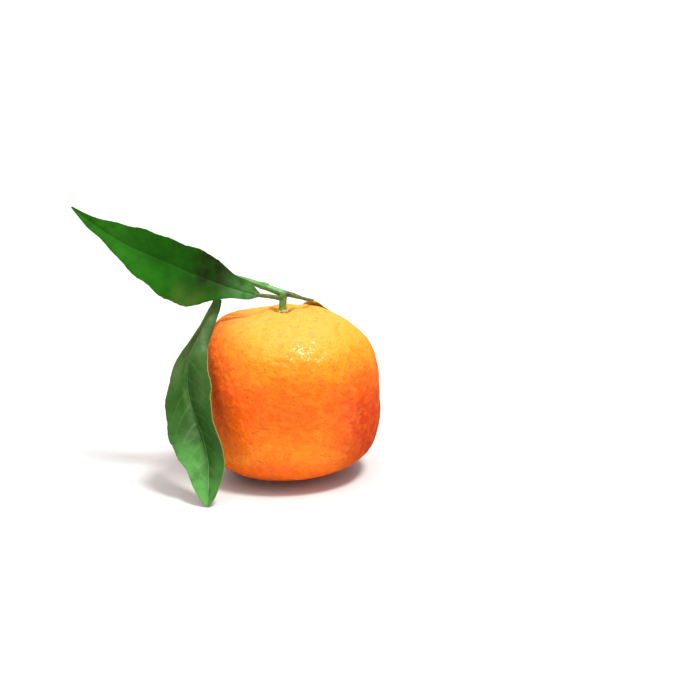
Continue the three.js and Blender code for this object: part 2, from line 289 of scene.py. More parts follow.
# ---- Fruit ----

FRUIT_WIDTH, FRUIT_HEIGHT = 60.4, 58.4
# The outline on each side, from the flat spot up to the calyx: shares of the half-width and of the height.
RIGHT_SIDE = [
    (0.2, 0), (0.44, 0.037), (0.71, 0.082), (0.92, 0.168), (1.008, 0.31), (1.01, 0.48), (0.985, 0.65),
    (0.895, 0.785), (0.755, 0.865), (0.58, 0.932), (0.41, 0.976), (0.25, 0.996), (0.1, 0.998), (0.022, 0.983),
]
LEFT_SIDE = [
    (-0.2, 0), (-0.44, 0.031), (-0.725, 0.062), (-0.91, 0.148), (-0.975, 0.29), (-0.988, 0.46), (-0.968, 0.65),
    (-0.918, 0.81), (-0.82, 0.91), (-0.645, 0.952), (-0.45, 0.97), (-0.3, 0.991), (-0.235, 0.998),
    (-0.166, 0.983),
]
SEAT_ACROSS, SEAT_UP = (RIGHT_SIDE[-1][0] + LEFT_SIDE[-1][0]) / 2, RIGHT_SIDE[-1][1]
SEAT = np.array([SEAT_ACROSS * FRUIT_WIDTH / 2, 0, SEAT_UP * FRUIT_HEIGHT])  # where the calyx sits
CREASES = [  # where round the calyx and width, in degrees, and depth
    (14, 14, 1.3), (62, 13, 0.9), (112, 13, 0.5), (152, 27, 3.0), (212, 11, 0.5), (252, 12, 0.4),
    (293, 12, 0.6), (338, 12, 0.4),
]
CREASE_FROM, CREASE_DEEPEST, CREASE_TO = 3.5, 11, 22
SWELLINGS = [(2, 1, 0.9, 0.35), (3, 2, 2.1, 0.28), (5, 3, 4.0, 0.16)]  # waves round, up, phase and height
RINGS, SIDES = 250, 330
PUCKERS, PUCKER_HEIGHT = 17, 0.16
PUCKER_START, PUCKER_END = (2.8, 4.5), (5, 12)  # how far from the calyx they rise and die out
FINE_LUMPS, FINE_LUMP_HEIGHT = (2.6, 1), 0.22  # size and seed
WIDE_LUMPS, WIDE_LUMP_HEIGHT = (11, 2), 0.15
LUMPS_SINK = 0.16  # keeps the lumps inside the solid's box
PORE_SPACING, PORE_DEPTH = 1.3, 0.07
FLAT_SPOT_EDGE, CALYX_SEAT_EDGE = (0.02, 0.8), (1.8, 3.2)  # heights and distances where the relief sets in
UPPER_HALF = 40  # above this height, distances from the calyx count
BLOSSOM_SCAR_RADIUS, BLOSSOM_SCAR_DEPTH, BLOSSOM_SCAR_RINGS, BLOSSOM_SCAR_FOLDS = 1.5, 0.7, 16, 9
FAR_FROM_NECK = 99


def fruit_skin():
    """The smooth body in rings from the flat spot up, and how far each point is from the calyx."""
    def side(points):
        return curve([(x * FRUIT_WIDTH / 2, 0, z * FRUIT_HEIGHT) for x, z in points])(up)

    up = np.linspace(0, 1, RINGS)
    right, left = side(RIGHT_SIDE), side(LEFT_SIDE)
    middle, half = (right + left) / 2, (right - left) / 2
    reach = np.linalg.norm(half, axis=1)
    turn = np.linspace(0, 2 * np.pi, SIDES, endpoint=False)
    u, phi = up[:, None], turn[None, :]
    swelling = sum(h * np.sin(n * phi + phase) * np.sin(np.pi * u) * np.cos((m - 1) * np.pi * u)
                   for n, m, phase, h in SWELLINGS)
    out = half[:, None, :] * np.cos(phi)[..., None]
    out[..., 1] = reach[:, None] * np.sin(phi)
    skin = middle[:, None, :] + out * (1 + swelling / reach[:, None])[..., None]

    away = skin - SEAT
    distance = np.hypot(away[..., 0], away[..., 1])
    bearing = np.degrees(np.arctan2(away[..., 1], away[..., 0]))
    depth = sum(d * np.exp(-((((bearing - at + 180) % 360) - 180) / width) ** 2) for at, width, d in CREASES)
    top = (u > 0.5) & (u < 1)
    depth *= smoothstep(distance, CREASE_FROM, CREASE_DEEPEST)
    depth *= 1 - smoothstep(distance, CREASE_DEEPEST, CREASE_TO)
    skin[..., 2] -= depth * top

    # Fine puckers between the main creases, only close to the calyx and unevenly spaced.
    bearing = np.radians(bearing)
    pucker = PUCKER_HEIGHT * np.cos(bearing * PUCKERS + 1.3 * np.sin(bearing * 5))
    pucker *= smoothstep(distance, *PUCKER_START) * (1 - smoothstep(distance, *PUCKER_END))
    skin[..., 2] += pucker * top
    return skin, distance.ravel()


def fruit_piece():
    """The peel with its lumps, pores and blossom scar."""
    skin, distance = fruit_skin()
    along = np.gradient(skin, axis=0)
    around = np.roll(skin, -1, axis=1) - np.roll(skin, 1, axis=1)
    outward = unit(np.cross(around, along)).reshape(-1, 3)
    flat = skin.reshape(-1, 3)
    fine = field(flat, *FINE_LUMPS)
    lumps = fine * FINE_LUMP_HEIGHT + field(flat, *WIDE_LUMPS) * WIDE_LUMP_HEIGHT - LUMPS_SINK
    pores = np.array([noise.voronoi(Vector(p))[0][0] for p in flat / PORE_SPACING])
    relief = lumps - PORE_DEPTH * (1 - smoothstep(pores, 0.05, 0.55))
    # Neither the seat of the calyx nor the flat spot is roughened.
    calm = smoothstep(flat[:, 2], *FLAT_SPOT_EDGE)
    calm *= np.where(flat[:, 2] > UPPER_HALF, smoothstep(distance, *CALYX_SEAT_EDGE), 1)
    flat = flat + outward * (relief * calm)[:, None]
    flat[:, 2] = np.maximum(flat[:, 2], 0)
    body = flat.reshape(skin.shape)

    # The dimple left by the blossom, in the middle of the flat spot.
    dimple = []
    for share in np.linspace(0.04, 0.94, BLOSSOM_SCAR_RINGS):
        ring = body[0] * [share, share, 1]
        bearing = np.arctan2(ring[:, 1], ring[:, 0])
        depth = np.exp(-(np.hypot(ring[:, 0], ring[:, 1]) / BLOSSOM_SCAR_RADIUS) ** 2)
        ring[:, 2] += BLOSSOM_SCAR_DEPTH * depth * (1 + 0.2 * np.cos(BLOSSOM_SCAR_FOLDS * bearing))
        dimple.append(ring)
    points, faces = capped_rings(np.concatenate([dimple, body]))
    under = np.zeros(len(dimple) * SIDES)
    near = np.where(flat[:, 2] > UPPER_HALF, distance, FAR_FROM_NECK)
    neck = np.r_[under + FAR_FROM_NECK, near, FAR_FROM_NECK, 0]  # the last two are the caps' middles
    crest = np.r_[under, fine, 0, 0]
    return make_object("fruit_skin", points, faces, {"neck": neck, "crest": crest})


# The peel's colour by height with painted light in it: a lighter band near the foot for light from the floor, a
# darker bottom for the shade where it sits, and a paler top partly for the overhead light.
PEEL_AND_PAINTED_LIGHT_BY_HEIGHT = [  # share of the fruit's height, colour
    (0.0, rgb(200, 66, 11)), (0.12, rgb(238, 98, 14)), (0.25, rgb(252, 130, 22)), (0.37, rgb(250, 114, 16)),
    (0.5, rgb(248, 98, 11)), (0.62, rgb(248, 101, 11)), (0.74, rgb(248, 130, 26)), (0.86, rgb(249, 149, 46)),
    (1.0, rgb(245, 156, 66)),
]
# Tones of painted shade on the peel: for the right side, the left side under the leaves, the left shoulder and
# the crease.
PAINTED_SHADE_RED, PAINTED_LEAF_SHADOW_ORANGE, PAINTED_SHOULDER_SHADE_ORANGE = rgb(176, 38, 3), rgb(190, 58, 6), rgb(228, 66, 2)
PAINTED_CREASE_SHADE_ORANGE = rgb(226, 92, 30)
# Painted light on the lumps' crests and painted shade in their dips, and a lighter mottle.
CREST_LIGHT_TONE, DIP_SHADE_TONE, MOTTLE_TONE = rgb(255, 150, 36), rgb(226, 74, 6), rgb(255, 158, 40)
GLAND_TONE, SMALL_GLAND_TONE = rgb(212, 74, 6), rgb(220, 82, 8)
NECK_GOLD, NECK_BROWN = rgb(214, 178, 66), rgb(186, 128, 44)
SCARS = [  # centre, half-lengths, turn about Y, strength, colour
    ((0, 0, 0.3), (2.0, 2.0, 2), 0, 0.9, rgb(150, 104, 54)),  # the blossom's
    ((0, 0, 0.6), (1.0, 1.0, 0.8), 0, 0.9, rgb(96, 62, 36)),
    ((-10.4, -29.0, 23.6), (2.2, 3, 0.55), -0.5, 0.7, rgb(170, 88, 34)),
    ((-7.4, -29.4, 24.9), (2.4, 3, 0.5), -0.15, 0.75, rgb(160, 84, 34)),
    ((-9.4, -27.6, 13.4), (1.2, 3, 0.35), 0.4, 0.7, rgb(170, 66, 22)),
    ((24.3, -17.0, 48.0), (0.5, 3, 0.5), 0, 0.9, rgb(120, 60, 30)),
    ((14.0, 24.5, 30.0), (0.8, 2, 0.6), 0, 0.7, rgb(140, 78, 40)),
    ((-16.0, 22.0, 42.0), (2.2, 3, 0.4), 0.6, 0.6, rgb(156, 84, 40)),
]


def peel_look():
    look = Look("peel")
    x, y, z = (look.node("SeparateXYZ", {"Vector": look.place}).outputs[k] for k in "XYZ")

    def zone(axis, low, high, to_low=0.0, to_high=1.0):
        return look.span(axis, low * MM, high * MM, to_low, to_high)

    # Pale gold at the top, red orange at the middle and light orange near the foot, with an uneven border. This
    # is partly the peel's own colour and partly painted light: the pale top stands in partly for the overhead
    # light and its glow, the lighter band near the foot is painted light thrown up by the floor, and the darkest
    # red at the very bottom is painted shade where the fruit sits.
    drift = look.span(look.noise(16, 2), 0.3, 0.7, -0.07, 0.07, smooth=False)
    far_drift = look.span(look.noise(24, 2), 0.3, 0.7, -0.2, 0.2, smooth=False)
    height = look.math("DIVIDE", z, FRUIT_HEIGHT * MM)
    colour = look.ramp(look.plus(height, drift, look.times(far_drift, zone(y, -8, 12))), PEEL_AND_PAINTED_LIGHT_BY_HEIGHT)

    # Painted shade: a deep red on the right side where a fruit beside it casts shade, a darker left side in the
    # leaves' shadow, a more orange left shoulder where less light falls, and a duller place by the crease where
    # shade gathers.
    for factor, tone in (
        (look.times(zone(x, 8, 27), zone(z, 46, 22), 0.95), PAINTED_SHADE_RED),
        (look.times(zone(x, -10, -28), zone(z, 56, 30), zone(z, 8, 21, 0.2, 1.0), 0.5), PAINTED_LEAF_SHADOW_ORANGE),
        (look.times(zone(x, -9, -27), zone(z, 28, 44), 0.66), PAINTED_SHOULDER_SHADE_ORANGE),
        (look.times(look.patch((-12, 5.5, 56.5), (10, 6, 6)), 0.3), PAINTED_CREASE_SHADE_ORANGE),
    ):
        colour = look.mix(factor, colour, tone)

    # Painted light and shade on the lumps: lighter on their crests and darker in their dips.
    crest = look.attribute("crest")
    colour = look.mix(look.span(crest, 0.0, 0.5, 0.0, 0.12), colour, CREST_LIGHT_TONE)
    colour = look.mix(look.span(crest, 0.0, -0.5, 0.0, 0.14), colour, DIP_SHADE_TONE)
    colour = look.mix(look.span(look.noise(2.6, 3), 0.42, 0.72, 0.0, 0.12), colour, MOTTLE_TONE)

    # Oil glands: fine darker dots of two sizes, denser in some places.
    glands = look.span(look.cells(1.0), 0.16, 0.42, 1.0, 0.0)
    small = look.span(look.cells(0.62), 0.12, 0.3, 1.0, 0.0)
    dense = look.times(look.span(look.noise(7, 2), 0.35, 0.65, 0.4, 1.0), zone(z, 54, 38, 0.4, 1.0))
    colour = look.mix(look.times(glands, dense, 0.7), colour, GLAND_TONE)
    colour = look.mix(look.times(small, dense, 0.45), colour, SMALL_GLAND_TONE)

    # A green-gold flush and a brown line round the calyx, and the scars.
    neck = look.attribute("neck")
    colour = look.mix(look.span(neck, 2.0, 5.2, 0.55, 0.0), colour, NECK_GOLD)
    colour = look.mix(look.span(neck, 3.0, 3.8, 0.35, 0.0), colour, NECK_BROWN)
    for centre, size, turn, strength, tone in SCARS:
        broken = look.span(look.noise(0.7, 2), 0.35, 0.6, 0.25, 1.0)
        colour = look.mix(look.times(look.patch(centre, size, turn), broken, strength), colour, tone)

    # Glands, a fine grain, and the broad bumps of the shoulders that break up the glint.
    grain = look.times(look.noise(1.7, 1.5), zone(z, 50, 42, 0.8, 1.2))
    bumps = look.times(zone(z, 26, 33), zone(z, 53, 47), look.noise(3.2, 1.5), 2.8)
    relief = look.plus(look.times(glands, -0.24), look.times(small, -0.08), grain, bumps)
    # The pores break up the gloss where the peel curves away from the eye.
    facing = look.node("LayerWeight", {"Blend": 0.5}).outputs["Facing"]
    rough = look.plus(look.span(look.noise(5, 3), 0.3, 0.7, 0.14, 0.22),
                      look.span(facing, 0.18, 0.5, 0.0, 0.75))
    look.set(Base_Color=colour, Roughness=rough, Normal=look.bump(relief, 0.36), IOR=1.45,
             Specular_IOR_Level=0.18, Subsurface_Weight=0.1, Subsurface_Radius=(1.0, 0.35, 0.1),
             Subsurface_Scale=2.0 * MM)
    return look.material


# ---- Calyx, stalk and twig ----

CALYX_RADIUS, CALYX_HEIGHT, STALK_LENGTH, STALK_RADIUS = 2.45, 1.1, 4.9, 1.25
NODE = SEAT + [0.4, 0, CALYX_HEIGHT + STALK_LENGTH]
TWIG_ROUTE = [(0, 0, 0), (-3, 0.2, 1.1), (-6.4, 0.8, 2.3), (-11.5, 1.8, 3.8), (-16, 3.4, 4.7), (-20, 4.8, 5.1)]
TWIG_RADII, TWIG_JOINT_HEIGHT, TWIG_JOINT_AT = (1.2, 0.85), 0.16, 0.36
STUB_ROUTE = [(-0.2, 0, 0), (2, 0.2, -0.3), (4.4, 0.6, -1.1), (6.8, 1.3, -2.1)]
STUB_RADII, STUB_JOINT_DEPTH, STUB_JOINT_AT = (1.1, 0.5), 0.12, 0.3
ROD_SIDES = 24
STALK_SINK = 0.25  # the stalk's foot stands this high in the calyx
KNOT = ((0, 0, -0.1), (1.42, 1.35, 1.38), 0)  # centre from the node, half-lengths, lean
BUD = ((-6.3, 0.6, 3.05), (1.5, 0.75, 0.75), 0.38)
BUD_FOOT = ((-5.4, 0.45, 3.1), (0.6, 0.45, 0.5), 0.3)
TWIG_VOXEL, TWIG_SMOOTHING = 0.13, 4
SEPALS, CALYX_SIDES = 5, 120
CALYX_LEAN = 0.16  # the share by which it reaches further to the right
COLLAR_HEIGHT, COLLAR_AT, SEPAL_RIB = 0.42, 0.52, 0.07
CALYX_GAP, CALYX_RIM = 0.02, 0.1  # heights of its underside and its rim over the peel


def calyx_piece():
    """Five blunt sepals pressed flat on the peel, with a raised collar round the stalk."""
    turn = np.linspace(0, 2 * np.pi, CALYX_SIDES, endpoint=False)
    lobe = np.abs(np.cos(SEPALS / 2 * turn + 0.2)) ** 0.7
    edge = CALYX_RADIUS * (0.84 + 0.26 * lobe + 0.03 * np.sin(11 * turn) + 0.02 * np.sin(23 * turn + 1))
    edge *= 1 + CALYX_LEAN * np.cos(turn)
    outline = np.c_[edge * np.cos(turn), edge * np.sin(turn)]
    rings = []
    for share in np.r_[0.3, np.linspace(0.4, 1, 10)]:  # underside, out to the edge
        rings.append(np.c_[outline * share, np.full(CALYX_SIDES, CALYX_GAP)])
    for share in np.r_[np.linspace(1, 0.3, 20), 0.05]:  # back over the top
        collar = COLLAR_HEIGHT * math.exp(-((share - COLLAR_AT) / 0.2) ** 2)
        rib = SEPAL_RIB * lobe * math.sin(math.pi * share)
        rings.append(np.c_[outline * share, CALYX_RIM + 0.16 * (1 - share**6) + collar + rib])
    points, faces = capped_rings(np.array(rings) + SEAT)
    away = np.hypot(points[:, 0] - SEAT[0], points[:, 1]) / CALYX_RADIUS
    return make_object("calyx_button", points, faces, {"rim": away})


def twig_piece():
    """Stalk, twig, stub, knot and buds, grown together. The attributes say where each tone of bark lies."""
    def ridged(count, height, phase):
        return lambda share, angle: height * (
            np.cos(count * angle + phase + 2 * share) + 0.5 * np.cos((count + 2) * angle + 5 * share))

    def routed(route, radii, steps, ridges):
        share = np.linspace(0, 1, steps)
        path = even_curve(route)[0](share)[0]
        return capped_rings(rod(path, radii(share), ROD_SIDES, ridged(*ridges)))

    def ball(centre, size, lean):
        v = np.linspace(0.02, np.pi - 0.02, 16)[:, None]
        w = np.linspace(0, 2 * np.pi, ROD_SIDES, endpoint=False)[None, :]
        local = np.stack([size[0] * np.sin(v) * np.cos(w), size[1] * np.sin(v) * np.sin(w),
                          -size[2] * np.cos(v) + 0 * w], -1)
        sine, cosine = math.sin(lean), math.cos(lean)
        turned = np.array([[cosine, 0, sine], [0, 1, 0], [-sine, 0, cosine]])
        return capped_rings(local @ turned.T + NODE + centre)

    def bulge(share, at, width):
        return np.exp(-((share - at) / width) ** 2)

    def stalk_radii(share):  # flared at the foot and a little at the node
        return STALK_RADIUS * (1 + 0.3 * np.exp(-share * 9) + 0.1 * np.exp((share - 1) * 7))

    def twig_radii(share):
        first, last = TWIG_RADII
        return first + (last - first) * share + TWIG_JOINT_HEIGHT * bulge(share, TWIG_JOINT_AT, 0.05)

    def stub_radii(share):
        first, last = STUB_RADII
        return first + (last - first) * share**1.3 - STUB_JOINT_DEPTH * bulge(share, STUB_JOINT_AT, 0.08)

    foot = SEAT + [0, 0, STALK_SINK]
    bodies = [
        routed([foot, (foot + NODE) / 2 + [-0.1, 0, 0], NODE], stalk_radii, 60, (6, 0.03, 0.0)),
        routed([NODE + p for p in TWIG_ROUTE], twig_radii, 150, (5, 0.035, 0.4)),
        routed([NODE + p for p in STUB_ROUTE], stub_radii, 70, (4, 0.03, 1.0)),
        ball(*KNOT), ball(*BUD), ball(*BUD_FOOT),
    ]
    points, faces = fused("twig", bodies, TWIG_VOXEL, TWIG_SMOOTHING)
    local = points - NODE
    return make_object("twig_wood", points, faces, {
        "stub": smoothstep(local[:, 0], 0.3, 1.6),
        "knot": np.exp(-(np.linalg.norm(local - [1.7, -0.8, -0.1], axis=1) / 1.3) ** 2),
        "cut": np.maximum(smoothstep(local[:, 0], 6.2, 6.7), smoothstep(-local[:, 0], 19.6, 19.95)),
        "foot": 1 - smoothstep(points[:, 2] - SEAT[2], 0.8, 3.0),
    })


def calyx_look():
    look = Look("calyx")
    colour = look.ramp(look.attribute("rim"), [
        (0.0, rgb(88, 108, 40)), (0.5, rgb(136, 130, 54)), (0.8, rgb(166, 148, 70)), (1.0, rgb(150, 112, 46)),
    ])
    colour = look.mix(look.span(look.noise(0.9, 3), 0.45, 0.7, 0.0, 0.5), colour, rgb(126, 104, 44))
    brown_edge = look.patch(SEAT + [2.5, -0.9, 0.2], (0.8, 0.8, 0.6))
    colour = look.mix(look.times(brown_edge, 0.7), colour, rgb(96, 58, 30))
    look.set(Base_Color=colour, Roughness=look.span(look.noise(0.6, 2), 0.3, 0.7, 0.5, 0.7),
             Normal=look.bump(look.noise(0.35, 3), 0.06), Subsurface_Weight=0.1,
             Subsurface_Radius=(0.6, 0.5, 0.2), Subsurface_Scale=0.8 * MM)
    return look.material


def bark_look():
    look = Look("green_bark")
    stretched = look.node("Mapping", {"Vector": look.place, "Scale": (0.35, 1, 1)}).outputs["Vector"]
    streaks = look.noise(0.5, 3, vector=stretched)
    colour = look.mix(look.span(streaks, 0.35, 0.7), rgb(60, 118, 38), rgb(80, 140, 54))
    colour = look.mix(look.span(look.noise(2.5, 2), 0.4, 0.7, 0.0, 0.5), colour, rgb(104, 150, 70))

    # The stub is drying out: olive and brown.
    dry = look.mix(look.span(look.noise(1.0, 3), 0.4, 0.62), rgb(84, 98, 42), rgb(78, 62, 40))
    colour = look.mix(look.times(look.attribute("stub"), 0.75), colour, dry)

    # A dark scab with pale flakes on the knot.
    knot = look.attribute("knot")
    scab = look.times(knot, look.span(look.noise(0.7, 3), 0.3, 0.55, 0.55, 1.0))
    colour = look.mix(scab, colour, rgb(62, 40, 32))
    flake = look.times(knot, look.span(look.noise(0.8, 2), 0.58, 0.66), 0.8)
    colour = look.mix(flake, colour, rgb(148, 134, 104))

    colour = look.mix(look.times(look.attribute("foot"), 0.35), colour, rgb(120, 132, 44))
    lenticels = look.times(look.span(look.cells(0.85), 0.1, 0.2, 0.7, 0.0), 0.6)
    colour = look.mix(lenticels, colour, rgb(150, 164, 100))
    cut_wood = look.mix(look.span(look.noise(0.4, 2), 0.4, 0.6), rgb(74, 44, 40), rgb(118, 84, 62))
    colour = look.mix(look.attribute("cut"), colour, cut_wood)
    look.set(Base_Color=colour, Roughness=look.span(look.noise(1.5, 2), 0.3, 0.7, 0.42, 0.6),
             Normal=look.bump(look.plus(streaks, look.times(look.noise(0.2, 2), 0.3)), 0.07),
             Subsurface_Weight=0.06, Subsurface_Radius=(0.5, 0.6, 0.2), Subsurface_Scale=0.6 * MM)
    return look.material


# ---- Leaves ----

# Each leaf's midrib is a route from the node. The blade faces along "faces", turned about the midrib.
# The petiole grows from the wood at "joins", and "petiole" is its share of the route.
# A station is its place on the blade, the left and right half-widths, and the turn and fold in degrees.
# Waves are their count along the blade, height and phase.
LEAVES = {
    "leaf_upper": dict(
        route=[(-1.7, -1.7, -1), (-5, -2.3, -0.3), (-8.3, -2.7, 0.2), (-14.6, -3.5, 2), (-22.7, -4, 4.9),
               (-32.8, -4, 9.2), (-41.1, -3, 12.6), (-51.9, -1, 17), (-61.4, 2, 22.2), (-66.6, 4, 25.5),
               (-71.1, 5.5, 28.6)],
        joins=(-0.2, -0.6, -0.5), petiole=0.085, petiole_radii=(0.75, 0.65), faces=(0, -1, 0),
        stations=[
            (0, 0.5, 0.9, 25, 5), (0.05, 2.4, 3.3, 25, 8), (0.14, 3.8, 4.7, 22, 12), (0.2, 6.2, 6.2, 18, 13),
            (0.26, 9.5, 8, 14, 13), (0.35, 11.8, 8.4, 12, 12), (0.48, 10.3, 7.9, 12, 12), (0.6, 7.7, 7.6, 12, 12),
            (0.7, 4.9, 6.2, 10, 12), (0.8, 3, 4, 8, 12), (0.9, 2, 1.6, 5, 10), (1, 0.3, 0.3, 0, 5),
        ],
        waves=(3.5, 0.5, 0.6), seed=1),
    "leaf_lower": dict(
        route=[(-20, 3.6, 4.2), (-22, 1.4, 1.8), (-22.8, -1.6, -1.9), (-25.6, -5, -7.2), (-29.3, -9.1, -13.5),
               (-31.3, -11.7, -18.4), (-31.8, -14.6, -25), (-30.6, -17.5, -33.1), (-26, -23.5, -43.6),
               (-24.4, -27, -49.9), (-24, -30.5, -55.5), (-24.3, -34.9, -62.9)],
        joins=(-19.2, 4.5, 4.9), petiole=0.1, petiole_radii=(0.75, 0.65), faces=(0, -1, 0),
        stations=[
            (0, 1.8, 0.8, -20, 30), (0.08, 3.2, 2.2, -25, 38), (0.2, 4.8, 3.6, -28, 40), (0.3, 7, 5.2, -15, 43),
            (0.4, 9.6, 7.8, -8, 42), (0.5, 10.6, 9.4, -2, 38), (0.6, 10.4, 10.3, 8, 35), (0.7, 9.2, 10.8, 14, 34),
            (0.8, 8.8, 8.8, 13, 30), (0.9, 5, 5.8, 10, 26), (0.96, 3, 3.4, 10, 22), (1, 0.8, 0.8, 10, 20),
        ],
        waves=(2.5, 0.4, 2.2), seed=2),
    "leaf_back": dict(
        route=[(7.3, 1.7, -2.3), (8.4, 3.6, -3), (9.5, 7.2, -4.1), (10.4, 12, -5.6), (11, 17.8, -8),
               (11.4, 25, -12.2), (11.6, 31.8, -19), (11.7, 36, -28), (11.5, 37.8, -38), (10.9, 38.2, -47.5)],
        joins=(6.2, 1.1, -1.8), petiole=0.1, petiole_radii=(0.5, 0.45), faces=(0.35, 0.6, 0.7),
        stations=[
            (0, 0.6, 0.6, 0, -5), (0.1, 2.2, 2.2, 0, -8), (0.35, 6.4, 6.6, 0, -6), (0.55, 8, 8.2, 0, -6),
            (0.78, 5.6, 5.8, 0, -6), (0.92, 2.2, 2.4, 0, -4), (1, 0.3, 0.3, 0, 0),
        ],
        waves=(3, 0.4, 4.0), seed=3),
}
BLADE_STEPS, BLADE_COLUMNS = 250, 72
BLADE_THICKNESS, MARGIN_THINNING = 0.42, 0.55
FOLD_AT_RIB = 1.3  # the halves rise from the rib and flatten towards the margin
FULL_WAVE_WIDTH = 5  # a half narrower than this has lower waves
CRENATIONS, CRENATION_DEPTH = 7, 0.03  # shallow teeth along each margin, and their share of the half-width
NICKS, NICK_DEPTH = (19, 27, 38), 0.004
SIDE_VEINS, FIRST_VEIN, VEIN_SPACING, VEIN_JITTER = 11, 0.03, 0.082, 0.012
VEIN_SINK, VEIN_RISE = 0.03, 0.05  # on the upper side and on the underside
GROOVE_DEPTH, GROOVE_WIDTH = 0.1, 0.45  # along the midrib, on the upper side
RIB_TAPER = 0.62
QUILT_SIZE, QUILT_HEIGHT = 2.6, 0.05
PETIOLE_SIDES, PETIOLE_STEPS, PETIOLE_OVERLAP = 20, 60, 1.25  # it runs a little way on under the blade


def leaf_frames(leaf, share):
    """Where a leaf's midrib, sides and upper face are, at shares of its route."""
    both, length = even_curve([NODE + p for p in leaf["route"]])
    point, along = both(share)
    blade = np.clip((share - leaf["petiole"]) / (1 - leaf["petiole"]), 0, 1)
    left, right, turn, fold = table(leaf["stations"])(blade)
    faces = np.array(leaf["faces"], float)
    up = unit(faces - (along @ faces)[:, None] * along)
    turn = np.radians(turn)[:, None]
    up = up * np.cos(turn) + np.cross(along, up) * np.sin(turn)
    return dict(point=point, up=up, side=np.cross(up, along), left=left, right=right, fold=np.radians(fold),
                blade=blade, length=length)


def leaf_sheet(leaf, frames):
    """The blade's middle surface, where its points are along and across it, and how far from the midrib."""
    across = np.linspace(-1, 1, BLADE_COLUMNS + 1)
    across = np.sign(across) * np.abs(across) ** 0.9  # closer together at the margins
    b, c = np.meshgrid(frames["blade"], across, indexing="ij")
    reach = np.abs(c)
    half = np.where(c > 0, frames["left"][:, None], frames["right"][:, None])
    teeth = CRENATION_DEPTH * np.sin(2 * np.pi * CRENATIONS * b + c)
    random = np.random.RandomState(leaf["seed"] + 10)
    nicks = sum(NICK_DEPTH * np.sin(2 * np.pi * n * b + random.uniform(0, 6) + 2 * np.sign(c)) for n in NICKS)
    width = half * reach * (1 + (teeth + nicks) * reach**2)
    fold = frames["fold"][:, None] * (FOLD_AT_RIB - (FOLD_AT_RIB - 1) * reach)
    count, height, phase = leaf["waves"]
    wave = height * np.sin(2 * np.pi * count * b + phase * np.sign(c))
    lift = wave * reach**2 * np.minimum(1, half / FULL_WAVE_WIDTH)
    side, up = frames["side"][:, None, :], frames["up"][:, None, :]
    sheet = (frames["point"][:, None, :] + side * (np.sign(c) * width * np.cos(fold))[..., None]
             + up * (width * np.sin(fold) + lift)[..., None])
    return sheet, b, c, width


def vein_mask(blade, across, length, seed):
    """Side veins that leave the midrib at a slant and bend towards the tip: 1 on a vein, 0 between."""
    reach = np.abs(across)
    mask = np.zeros(blade.shape)
    random = np.random.RandomState(seed)
    for side, offset in ((-1, 0.1), (1, 0.5)):
        for k in range(SIDE_VEINS):
            start = FIRST_VEIN + (k + offset) * VEIN_SPACING + random.uniform(-VEIN_JITTER, VEIN_JITTER)
            line = start + 0.13 * reach - 0.02 * np.sin(3 * reach) + 0.05 * reach**3
            away = np.abs(blade - line) * length * 0.85  # across the slant
            width = 0.42 - 0.22 * reach
            strength = (1 - reach**3) * random.uniform(0.7, 1.0)
            mask = np.maximum(mask, np.where(across * side > 0, strength * np.exp(-(away / width) ** 2), 0))
    return mask


def two_sided_faces(rows, columns):
    """Faces of a thin body from two grids of points: its upper side, its underside and the rim between."""
    top = np.arange(rows * columns).reshape(rows, columns)
    under = top + rows * columns
    faces = []
    for r in range(rows - 1):
        for k in range(columns - 1):
            faces.append((top[r, k], top[r, k + 1], top[r + 1, k + 1], top[r + 1, k]))
            faces.append((under[r, k], under[r + 1, k], under[r + 1, k + 1], under[r, k + 1]))
    rim = [((0, k + 1), (0, k)) for k in range(columns - 1)]
    rim += [((rows - 1, k), (rows - 1, k + 1)) for k in range(columns - 1)]
    rim += [((r, 0), (r + 1, 0)) for r in range(rows - 1)]
    rim += [((r + 1, columns - 1), (r, columns - 1)) for r in range(rows - 1)]
    return faces + [(top[a], top[d], under[d], under[a]) for a, d in rim]


def petiole_body(leaf):
    """The leaf's stalk, from inside the wood to under the blade's foot."""
    end, (thick, thin) = leaf["petiole"], leaf["petiole_radii"]
    share = np.linspace(0, end * PETIOLE_OVERLAP, PETIOLE_STEPS)
    frames = leaf_frames(leaf, share)
    drop = smoothstep(frames["blade"], 0, 0.05) * thin * 0.8
    path = np.vstack([NODE + leaf["joins"], frames["point"] - frames["up"] * drop[:, None]])
    radii = np.interp(share, [0, end * 0.15, end, end * PETIOLE_OVERLAP],
                      [thick * 1.12, thick * 0.95, thin, thin * 0.8])
    flattened = rod(path, np.r_[radii[0] * 0.9, radii], PETIOLE_SIDES, lambda s, a: 0.04 * np.cos(2 * a))
    return capped_rings(flattened)


